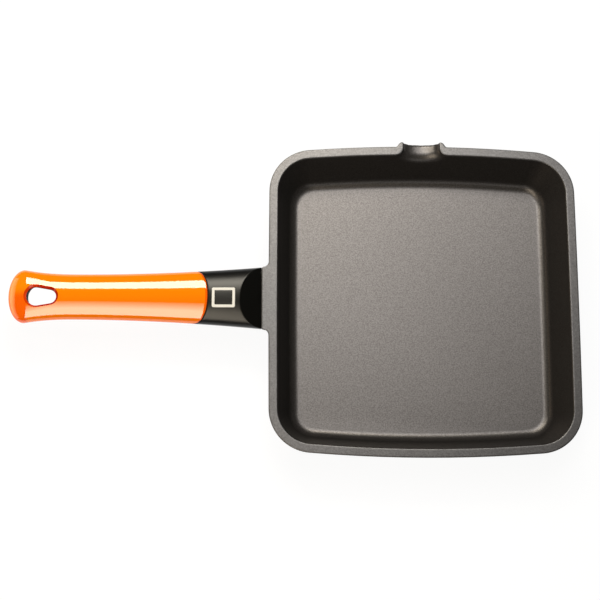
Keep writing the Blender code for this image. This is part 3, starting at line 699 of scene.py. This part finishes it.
def handle_point(turn, along, inward=0.0):
    """A point of the handle at an angle round its section, some way below the skin."""
    start = crease_at(turn)
    straight = min(along, start)
    if straight < WAIST_AT:
        taper = (1 - straight / WAIST_AT) ** FERRULE_TAPER_POWER
        width = WAIST_WIDTH + (PAN_END_WIDTH - WAIST_WIDTH) * taper
    else:
        taper = 0.0
        flare = ((straight - WAIST_AT) / (BUTT_WIDEST_AT - WAIST_AT)) ** BUTT_FLARE_POWER
        width = WAIST_WIDTH + (BUTT_WIDTH - WAIST_WIDTH) * flare
    rise = WAIST_RISE + (PAN_END_RISE - WAIST_RISE) * taper
    drop = WAIST_DROP + (PAN_END_DROP - WAIST_DROP) * taper
    dome = min(max(along - start, 0.0) / (HANDLE_LENGTH - start - inward), 1.0)
    squarer = smooth_step((straight - BUTT_SQUARES_FROM) / (start - BUTT_SQUARES_FROM))
    power = 2 / (SECTION_SQUARENESS + (BUTT_SQUARENESS - SECTION_SQUARENESS) * squarer)
    across = abs(cos(turn)) ** power * (1 if cos(turn) >= 0 else -1)
    up = abs(sin(turn)) ** power
    y = (width / 2 - inward) * across * sqrt(1 - dome ** 2)
    if sin(turn) >= 0:
        lift = (rise - inward) * up * (1 - dome) ** BUTT_CREASE_POWER
    else:
        lift = -(drop - inward) * up * sqrt(1 - dome ** 2)
    return Vector((HANDLE_START_X - along, y, HANDLE_Z + lift))


def handle_turns():
    """The angles of the points round one section."""
    return [2 * pi * i / SECTION_POINTS for i in range(SECTION_POINTS)]


def facet_at(y, z):
    """How far the facet lies from the handle's start: it is a little longer on the near side."""
    return max((z - RIM_Z) * FACET_LENGTH / FACET_RISE - y * FACET_SKEW, 0.0)


def joint_at(z):
    """How far the slanted joint with the grip lies from the handle's start at a height."""
    return JOINT_SIDE_AT + (HANDLE_Z - z) * JOINT_SLOPE


def slanted_ring(share, inward=0.0, shift=0.0):
    """A ring between the facet, at a share of 0, and the joint, at a share of 1."""
    ring = []
    for turn in handle_turns():
        along = JOINT_SIDE_AT * share
        for _ in range(12):
            point = handle_point(turn, along, inward)
            along = facet_at(point.y, point.z) * (1 - share) + joint_at(point.z) * share + shift
        ring.append(handle_point(turn, along, inward))
    return ring


def straight_ring(share, inward=0.0, shift=0.0):
    """A ring between the joint, at a share of 0, and the crease of the butt, at a share of 1."""
    joint = slanted_ring(1.0, inward, shift)
    ring = []
    for turn, point in zip(handle_turns(), joint):
        along = (HANDLE_START_X - point.x) * (1 - share) + crease_at(turn) * share
        ring.append(handle_point(turn, along, inward))
    return ring


def butt_ring(angle, inward=0.0):
    """A ring of the domed butt, from 0 at the crease to a right angle at the tip."""
    ring = []
    for turn in handle_turns():
        start = crease_at(turn)
        along = start + (HANDLE_LENGTH - start - inward) * sin(angle)
        ring.append(handle_point(turn, along, inward))
    return ring


def butt_rings(inward=0.0):
    """The rings of the whole dome."""
    angles = (3, 6, 10, 15, 21, 28, 36, 44, 52, 60, 67, 73, 78, 82, 85, 87.5)
    return [butt_ring(radians(angle), inward) for angle in angles]


def core_rings():
    """The facet, the ferrule, the shoulder below the joint and the spigot to the butt."""
    hinge = Vector((HANDLE_START_X + GAP - END_JOINT, 0.0, RIM_Z))
    edge = 0.25 * MM
    face = slanted_ring(0.0, edge, END_JOINT - GAP)
    shares = (0.02, 0.25, 0.5, 0.75, 1.0)
    rings = [[hinge + (point - hinge) * share for point in face] for share in shares]
    for angle in (30, 60, 90):
        turn = radians(angle)
        rings.append(slanted_ring(0.0, edge * (1 - sin(turn)), edge * (1 - cos(turn)) + END_JOINT - GAP))
    steps = 28
    first = slanted_ring(0.0, 0.0, edge + END_JOINT - GAP)
    last = slanted_ring(1.0, 0.0, -edge)
    for i in range(1, steps):
        share = i / steps
        ring = []
        for turn, a, b in zip(handle_turns(), first, last):
            ring.append(handle_point(turn, HANDLE_START_X - a.x * (1 - share) - b.x * share))
        rings.append(ring)
    for angle in (90, 60, 30, 0):
        turn = radians(angle)
        rings.append(slanted_ring(1.0, edge * (1 - sin(turn)), -edge * (1 - cos(turn))))
    spigot = SHELL_WALL + GAP
    rings += [straight_ring(i / 12, spigot) for i in range(13)]
    return rings + butt_rings(spigot)


HOLE_LARGE_RADIUS = 6.5 * MM
HOLE_SMALL_RADIUS = 4.9 * MM
HOLE_LARGE_X = -272.8 * MM
HOLE_SMALL_X = -263.6 * MM
HOLE_Y = -0.8 * MM
HOLE_UNDERCUT = 1.28
HOLE_LEAN_X = -0.4 * MM
HOLE_LEAN_Y = 1.8 * MM
HOLE_NARROWEST_Z = 43.0 * MM
CORED_END_MARGIN = 10.0 * MM
CORED_HALF_WIDTH = 12.0 * MM


def surface_z(x, y, side):
    """The height of the handle's skin over a point in plan, above (1) or below (-1) the parting line."""
    along = HANDLE_START_X - x
    low, high = 0.0, pi / 2
    for _ in range(30):
        turn = (low + high) / 2
        if handle_point(turn, along).y > abs(y):
            low = turn
        else:
            high = turn
    return handle_point(side * turn, along).z


def egg_outline(grow, below=False):
    """The hanging hole in plan: two arcs joined by straight sides, wider and shifted on the underside."""
    large, small = HOLE_LARGE_RADIUS + grow, HOLE_SMALL_RADIUS + grow
    lean = atan2(large - small, sqrt((HOLE_SMALL_X - HOLE_LARGE_X) ** 2 - (large - small) ** 2))
    steps = 24
    outline = []
    for i in range(steps + 1):
        angle = -(pi / 2 - lean) + (pi - 2 * lean) * i / steps
        outline.append((HOLE_SMALL_X + small * cos(angle), small * sin(angle)))
    for i in range(steps + 1):
        angle = pi / 2 - lean + (pi + 2 * lean) * i / steps
        outline.append((HOLE_LARGE_X + large * cos(angle), large * sin(angle)))
    if below:
        return [(x + HOLE_LEAN_X, HOLE_Y + HOLE_LEAN_Y + y * HOLE_UNDERCUT) for x, y in outline]
    return [(x, HOLE_Y + y) for x, y in outline]


def core_hole():
    """An egg-shaped cutter through the spigot that widens and shifts below its narrowest height."""
    levels = (
        (HANDLE_Z - WAIST_DROP, True), (HOLE_NARROWEST_Z, False), (HANDLE_Z + 2 * WAIST_DROP, False))
    return skin("core_hole", [[(x, y, z) for x, y in egg_outline(0.0, below)] for z, below in levels])


def box_cutter(name, low, high):
    """A block between two corners."""
    bpy.ops.object.select_all(action="DESELECT")
    bpy.ops.mesh.primitive_cube_add(size=1.0)
    block = bpy.context.object
    block.name = name
    bpy.ops.object.mode_set(mode="EDIT")
    bpy.ops.transform.resize(value=[b - a for a, b in zip(low, high)])
    bpy.ops.transform.translate(value=[(a + b) / 2 for a, b in zip(low, high)])
    bpy.ops.object.mode_set(mode="OBJECT")
    return block


def screw_well(radii_and_heights):
    """A stepped round cutter about the screw."""
    return skin("screw_well", [circle_ring(radius, z, SCREW_X) for radius, z in radii_and_heights])


core = skin("phenolic_core", core_rings())
cut(core, box_cutter("socket", (
    BOSS_FACE_X - TONGUE_LENGTH - GAP, -TONGUE_HALF_WIDTH - GAP, TONGUE_BOTTOM_Z - GAP), (
    BOSS_FACE_X, TONGUE_HALF_WIDTH + GAP, TONGUE_TOP_Z + GAP)))
cut(core, screw_well([
    (WELL_RADIUS, WELL_MOUTH_Z), (WELL_RADIUS, SEAT_Z),
    (BORE_RADIUS, SEAT_Z), (BORE_RADIUS, TONGUE_BOTTOM_Z)]))
cut(core, core_hole())
cored = core.data.attributes.new("cored", "FLOAT", "FACE")
for face in core.data.polygons:
    near_hole = (
        HOLE_LARGE_X - CORED_END_MARGIN < face.center.x < HOLE_SMALL_X + CORED_END_MARGIN
        and abs(face.center.y) < CORED_HALF_WIDTH)
    if near_hole and abs(face.normal.z) < 0.5:
        cored.data[face.index].value = 1.0
bpy.ops.object.shade_smooth_by_angle(angle=radians(40))

# Black phenolic from a sparked tool: near black, with a wide soft highlight from the fine texture, and
# rougher in the hanging hole, where it throws back almost nothing. Its 0.6 mm grain is drawn coarser
# than the real one.
phenolic, tree = empty_material("black phenolic moulding")
place = add_node(tree, "ShaderNodeTexCoord").outputs["Object"]
SPARK_GRAIN = 0.6 * MM
grain = add_node(tree, "ShaderNodeTexNoise", {"Scale": 1 / SPARK_GRAIN, "Detail": 1.0}, {"Vector": place})
bump = add_node(tree, "ShaderNodeBump", {"Strength": 0.15, "Distance": 0.02 * MM},
                {"Height": grain.outputs["Fac"]})
cored_wall = add_node(tree, "ShaderNodeAttribute", {"attribute_name": "cored"})
roughness = add_node(tree, "ShaderNodeMapRange", {"To Min": 0.31, "To Max": 0.85},
                     {"Value": cored_wall.outputs["Fac"]})
finish_material(tree, add_node(tree, "ShaderNodeBsdfPrincipled", {
    "Base Color": linear("#080807"), "IOR": 1.5, "Specular IOR Level": 0.4},
    {"Roughness": roughness.outputs["Result"], "Normal": bump.outputs["Normal"]}))
finish_piece(core, phenolic, "handle_core")
flag_off(core)


# Badge place: a small blank plate let into the ferrule's crest and bonded: a plain black field in a
# white frame, both of lacquered steel. It carries nothing, and it follows the crown of the moulding.

BADGE_CENTRE_X = -141.6 * MM
BADGE_CENTRE_Y = -1.4 * MM
BADGE_HALF_LENGTH = 8.1 * MM
BADGE_HALF_WIDTH = 7.05 * MM
BADGE_CORNER = 1.0 * MM
FRAME_WIDTH = 1.9 * MM
BADGE_THICKNESS = 0.3 * MM


def badge_ring(inset, lift):
    """The plate's rounded rectangle, drawn in and lifted off the moulding's skin."""
    radius = max(BADGE_CORNER - inset, 0.3 * MM)
    half_x = BADGE_HALF_LENGTH - inset - radius
    half_y = BADGE_HALF_WIDTH - inset - radius
    outline = []
    for i, (sign_x, sign_y) in enumerate(((1, 1), (-1, 1), (-1, -1), (1, -1))):
        for step in range(7):
            angle = pi / 2 * (i + step / 6)
            outline.append((sign_x * half_x + radius * cos(angle), sign_y * half_y + radius * sin(angle)))
        following = ((-1, 1), (-1, -1), (1, -1), (1, 1))[i]
        start = outline[-1]
        side = (following[0] * half_x + radius * cos(angle), following[1] * half_y + radius * sin(angle))
        for step in range(1, 8):
            outline.append((
                start[0] + (side[0] - start[0]) * step / 8, start[1] + (side[1] - start[1]) * step / 8))
    places = [(BADGE_CENTRE_X + x, BADGE_CENTRE_Y + y) for x, y in outline]
    return [(x, y, surface_z(x, y, 1) + lift) for x, y in places]


FRAME_EDGE = (0.06 * MM, 0.12 * MM)
FRAME_TOP = (0.16 * MM, 0.14 * MM)
FIELD_BED = -0.1 * MM
frame_profile = [
    (0.0, -BADGE_THICKNESS), (0.0, 0.06 * MM), FRAME_EDGE, FRAME_TOP, (FRAME_WIDTH / 2, FRAME_TOP[1]),
    (FRAME_WIDTH - FRAME_TOP[0], FRAME_TOP[1]), (FRAME_WIDTH - FRAME_EDGE[0], FRAME_EDGE[1]),
    (FRAME_WIDTH, 0.06 * MM)]
frame_profile += [(FRAME_WIDTH + step * MM, FIELD_BED) for step in range(5)]
badge_frame = skin("badge_frame", [badge_ring(inset, lift) for inset, lift in frame_profile])
bpy.ops.object.shade_smooth_by_angle(angle=radians(50))

FIELD_LIFT = 0.04
field_profile = [(0.1, -0.05), (0.1, 0.0), (0.14, 0.03)]
field_profile += [(inset, FIELD_LIFT) for inset in (0.2, 1.0, 2.0, 3.0, 4.0, 4.6)]
badge_field = skin("badge_field", [
    badge_ring(FRAME_WIDTH + inset * MM, lift * MM) for inset, lift in field_profile])
bpy.ops.object.shade_smooth_by_angle(angle=radians(50))

# White stoved lacquer: a half-matt white, a little uneven where it was sprayed and baked.
white_lacquer, tree = empty_material("white stoved lacquer")
place = add_node(tree, "ShaderNodeTexCoord").outputs["Object"]
SPRAY_SIZE = 0.8 * MM
spray = add_node(tree, "ShaderNodeTexNoise", {"Scale": 1 / SPRAY_SIZE, "Detail": 1.0}, {"Vector": place})
sheen = add_node(tree, "ShaderNodeMapRange", {"To Min": 0.42, "To Max": 0.55},
                 {"Value": spray.outputs["Fac"]})
finish_material(tree, add_node(tree, "ShaderNodeBsdfPrincipled", {
    "Base Color": linear("#e6e6e4"), "IOR": 1.5}, {"Roughness": sheen.outputs["Result"]}))
finish_piece(badge_frame, white_lacquer)
flag_off(badge_frame)

# Black stoved lacquer: the same film in near black.
black_lacquer, tree = empty_material("black stoved lacquer")
place = add_node(tree, "ShaderNodeTexCoord").outputs["Object"]
spray = add_node(tree, "ShaderNodeTexNoise", {"Scale": 1 / SPRAY_SIZE, "Detail": 1.0}, {"Vector": place})
sheen = add_node(tree, "ShaderNodeMapRange", {"To Min": 0.3, "To Max": 0.4},
                 {"Value": spray.outputs["Fac"]})
finish_material(tree, add_node(tree, "ShaderNodeBsdfPrincipled", {
    "Base Color": linear("#080808"), "IOR": 1.5}, {"Roughness": sheen.outputs["Result"]}))
finish_piece(badge_field, black_lacquer)
flag_off(badge_field)


# Grip shells: two orange mouldings, clear-coated, that close round the core on a level parting line
# and are welded. The end at the joint is rounded, the butt is domed and the hanging hole has a lip.

SLEEVE_EDGE_DEPTH = 0.5 * MM
SLEEVE_EDGE_SIDE = 1.2 * MM
SLEEVE_EDGE_CREST = 2.9 * MM
PARTING_GAP = 0.08 * MM


def sleeve_edge_ring(angle):
    """A ring of the rounded end: it is longest at the crest."""
    ring = []
    for turn in handle_turns():
        inward = SLEEVE_EDGE_DEPTH * (1 - sin(angle))
        length = SLEEVE_EDGE_SIDE + (SLEEVE_EDGE_CREST - SLEEVE_EDGE_SIDE) * max(sin(turn), 0.0) ** 1.5
        along = JOINT_SIDE_AT
        for _ in range(12):
            z = handle_point(turn, along, inward).z
            along = joint_at(z) + GAP + length * (1 - cos(angle))
        ring.append(handle_point(turn, along, inward))
    return ring


def shell_rings():
    """The closed sleeve, from its inner wall over the rounded end to the butt."""
    inner_angles = (87, 80, 70, 58, 45, 30, 15)
    inner = [butt_ring(radians(angle), SHELL_WALL) for angle in inner_angles]
    inner += [straight_ring(i / 12, SHELL_WALL, GAP) for i in range(12, -1, -1)]
    edge = [sleeve_edge_ring(radians(angle)) for angle in range(0, 91, 10)]
    steps = 90
    body = []
    for i in range(1, steps + 1):
        share = i / steps
        ring = []
        for turn, point in zip(handle_turns(), edge[-1]):
            along = (HANDLE_START_X - point.x) * (1 - share) + crease_at(turn) * share
            ring.append(handle_point(turn, along))
        body.append(ring)
    return inner + edge + body + butt_rings()


def lipped_hole():
    """A cutter for the hanging hole whose ends flare where the lip is rounded over."""
    lip = (
        (2.7, -1.2), (1.7, 0.0), (1.3, 0.5), (0.9, 0.92), (0.5, 1.3), (0.2, 1.75), (0.03, 2.3), (0.0, 3.0))
    rings = []
    for side, below in ((1, False), (-1, True)):
        half = []
        for grow, depth in lip:
            outline = egg_outline(grow * MM, below)
            half.append([(x, y, surface_z(x, y, side) - side * depth * MM) for x, y in outline])
        half.insert(0, [(x, y, HANDLE_Z + side * 2 * WAIST_DROP) for x, y in egg_outline(4 * MM, below)])
        rings += half if side == 1 else half[::-1]
    rings.insert(len(lip) + 1, [(x, y, HOLE_NARROWEST_Z) for x, y in egg_outline(0.0)])
    return skin("lipped_hole", rings)


def in_hole(x, y, grow):
    """Whether a place in plan lies in the hanging hole or within a distance of it."""
    for i in range(13):
        share = i / 12
        centre_x = HOLE_LARGE_X + (HOLE_SMALL_X - HOLE_LARGE_X) * share
        radius = HOLE_LARGE_RADIUS + (HOLE_SMALL_RADIUS - HOLE_LARGE_RADIUS) * share + grow
        if (x - centre_x) ** 2 + (y - HOLE_Y) ** 2 < radius ** 2:
            return True
    return False


# Painted shade: faces on the hanging hole's lip and on the rounded end by the joint get a face attribute
# that turns the orange a deeper red where shade falls.
LIP_WIDTH = 1.65 * MM
LIP_PAINTED_SHADE = 0.75
END_SHADE_LENGTH = 2.0 * MM
END_PAINTED_SHADE = 0.5
sleeve = skin("grip_upper", shell_rings())
cut(sleeve, lipped_hole())
painted_redness = sleeve.data.attributes.new("painted_redness", "FLOAT", "FACE")
for face in sleeve.data.polygons:
    along = HANDLE_START_X - face.center.x
    if in_hole(face.center.x, face.center.y, LIP_WIDTH):
        to_small_end = (face.center.x - HOLE_LARGE_X) / (HOLE_SMALL_X - HOLE_LARGE_X)
        painted_redness.data[face.index].value = LIP_PAINTED_SHADE + (1 - LIP_PAINTED_SHADE) * smooth_step(to_small_end)
    elif along - joint_at(face.center.z) < END_SHADE_LENGTH:
        painted_redness.data[face.index].value = END_PAINTED_SHADE
bpy.ops.object.duplicate()
lower_half = bpy.context.object
lower_half.name = "grip_lower"

# Gloss orange plastic under a clear coat: a warm opaque orange under sharp white reflections. Painted
# shade makes it deeper and redder on the near side, at the butt, at the end by the joint and on the lip of
# the hole.
orange, tree = empty_material("orange gloss plastic")
place = add_node(tree, "ShaderNodeTexCoord").outputs["Object"]
split = add_node(tree, "ShaderNodeSeparateXYZ", {}, {"Vector": place})
# Painted shade, placed by object coordinates: the near side and the near part of the butt's face turn a
# deeper red.
near_side_shade = add_node(tree, "ShaderNodeMapRange", {
    "interpolation_type": "SMOOTHSTEP",
    "From Min": 7 * MM, "From Max": -9 * MM, "To Min": 0.0, "To Max": 0.24},
    {"Value": split.outputs["Y"]})
butt_end = add_node(tree, "ShaderNodeMapRange", {
    "interpolation_type": "SMOOTHSTEP", "From Min": -276 * MM, "From Max": -280 * MM},
    {"Value": split.outputs["X"]})
butt_near = add_node(tree, "ShaderNodeMapRange", {
    "interpolation_type": "SMOOTHSTEP",
    "From Min": 6 * MM, "From Max": -2 * MM, "To Min": 0.0, "To Max": 0.5},
    {"Value": split.outputs["Y"]})
butt_tip = add_node(tree, "ShaderNodeMapRange", {
    "interpolation_type": "SMOOTHSTEP", "From Min": -290 * MM, "From Max": -286.5 * MM},
    {"Value": split.outputs["X"]})
butt_band = add_node(tree, "ShaderNodeMath", {"operation": "MULTIPLY"}, {
    0: butt_end.outputs["Result"], 1: butt_tip.outputs["Result"]})
butt_shade = add_node(tree, "ShaderNodeMath", {"operation": "MULTIPLY"}, {
    0: butt_band.outputs[0], 1: butt_near.outputs["Result"]})
painted_shade_mask = add_node(tree, "ShaderNodeMath", {"operation": "MAXIMUM"}, {
    0: near_side_shade.outputs["Result"], 1: butt_shade.outputs[0]})
painted_redness_node = add_node(tree, "ShaderNodeAttribute", {"attribute_name": "painted_redness"})
depth = add_node(tree, "ShaderNodeMath", {"operation": "MAXIMUM"}, {
    0: painted_shade_mask.outputs[0], 1: painted_redness_node.outputs["Fac"]})
# The ramp runs from the orange's own colour to the deeper reds that paint the shade.
pigment_and_shade = add_node(tree, "ShaderNodeValToRGB", {}, {"Fac": depth.outputs[0]})
pigment_and_shade.color_ramp.elements[0].color = linear("#ff8e00")
pigment_and_shade.color_ramp.elements[1].color = linear("#b81800")
pigment_and_shade.color_ramp.elements.new(0.7).color = linear("#f04800")
finish_material(tree, add_node(tree, "ShaderNodeBsdfPrincipled", {
    "Roughness": 0.5, "IOR": 1.5, "Specular IOR Level": 0.0,
    "Coat Weight": 1.0, "Coat Roughness": 0.03, "Coat IOR": 1.8},
    {"Base Color": pigment_and_shade.outputs["Color"]}))

HALF_BLOCK_LENGTH = 400.0 * MM
HALF_BLOCK_SIDE = 100.0 * MM
for shell, side, node in ((sleeve, 1, "grip_shell_upper"), (lower_half, -1, "grip_shell_lower")):
    parting = sorted((HANDLE_Z + side * PARTING_GAP / 2, HANDLE_Z - side * 2 * PAN_END_DROP))
    cut(shell, box_cutter("other_half", (-HALF_BLOCK_LENGTH, -HALF_BLOCK_SIDE, parting[0]), (
        0.0, HALF_BLOCK_SIDE, parting[1])))
    bpy.ops.object.shade_smooth_by_angle(angle=radians(35))
    finish_piece(shell, orange, node)
    flag_off(shell)


# Fixing: a zinc-plated M5 pan-head screw with a cross recess comes up from below through a split
# spring washer and a flat washer into a steel insert in the pan's tongue.

SCREW_HEAD_TOP = 26.6 * MM
SCREW_HEAD_BOTTOM = 23.6 * MM
SCREW_HEAD_RADIUS = 4.75 * MM
SCREW_RADIUS = 2.5 * MM
RECESS_REACH = 2.2 * MM
RECESS_HALF_WIDTH = 0.55 * MM
RECESS_DEPTH = 1.9 * MM
RECESS_TAPER = 0.45

head_profile = [
    (0.2, SCREW_HEAD_BOTTOM / MM), (1.6, 23.62), (2.9, 23.75), (3.8, 24.05), (4.4, 24.5), (4.68, 25.1),
    (SCREW_HEAD_RADIUS / MM, 25.8), (SCREW_HEAD_RADIUS / MM, 26.45), (4.6, SCREW_HEAD_TOP / MM),
    (SCREW_RADIUS / MM, SCREW_HEAD_TOP / MM), (SCREW_RADIUS / MM, 37.9), (2.1, 38.3)]
screw = skin("pan_head_screw", [circle_ring(radius * MM, z * MM, SCREW_X) for radius, z in head_profile])
for half_x, half_y in ((RECESS_REACH, RECESS_HALF_WIDTH), (RECESS_HALF_WIDTH, RECESS_REACH)):
    blade = box_cutter("cross_recess", (
        SCREW_X - half_x, -half_y, SCREW_HEAD_BOTTOM - MM), (
        SCREW_X + half_x, half_y, SCREW_HEAD_BOTTOM + RECESS_DEPTH))
    bpy.ops.object.mode_set(mode="EDIT")
    select_faces(blade, lambda centre, normal: normal.z > 0.9)
    bpy.ops.transform.resize(
        value=(RECESS_TAPER, RECESS_TAPER, 1.0), center_override=(SCREW_X, 0.0, SCREW_HEAD_BOTTOM))
    bpy.ops.object.mode_set(mode="OBJECT")
    cut(screw, blade)
bpy.ops.object.shade_smooth_by_angle(angle=radians(35))

# Bright zinc plate: a pale blue-grey metal, less clear than chrome.
zinc, tree = empty_material("bright zinc plate")
finish_material(tree, add_node(tree, "ShaderNodeBsdfPrincipled", {
    "Base Color": linear("#c9ccd1"), "Metallic": 1.0, "Roughness": 0.27}))
finish_piece(screw, zinc, "handle_screw")
for name in ("thread_insert", "flat_washer", "spring_washer"):
    part = nodes[name]
    for i in range(len(part.data.materials)):
        part.data.materials[i] = zinc
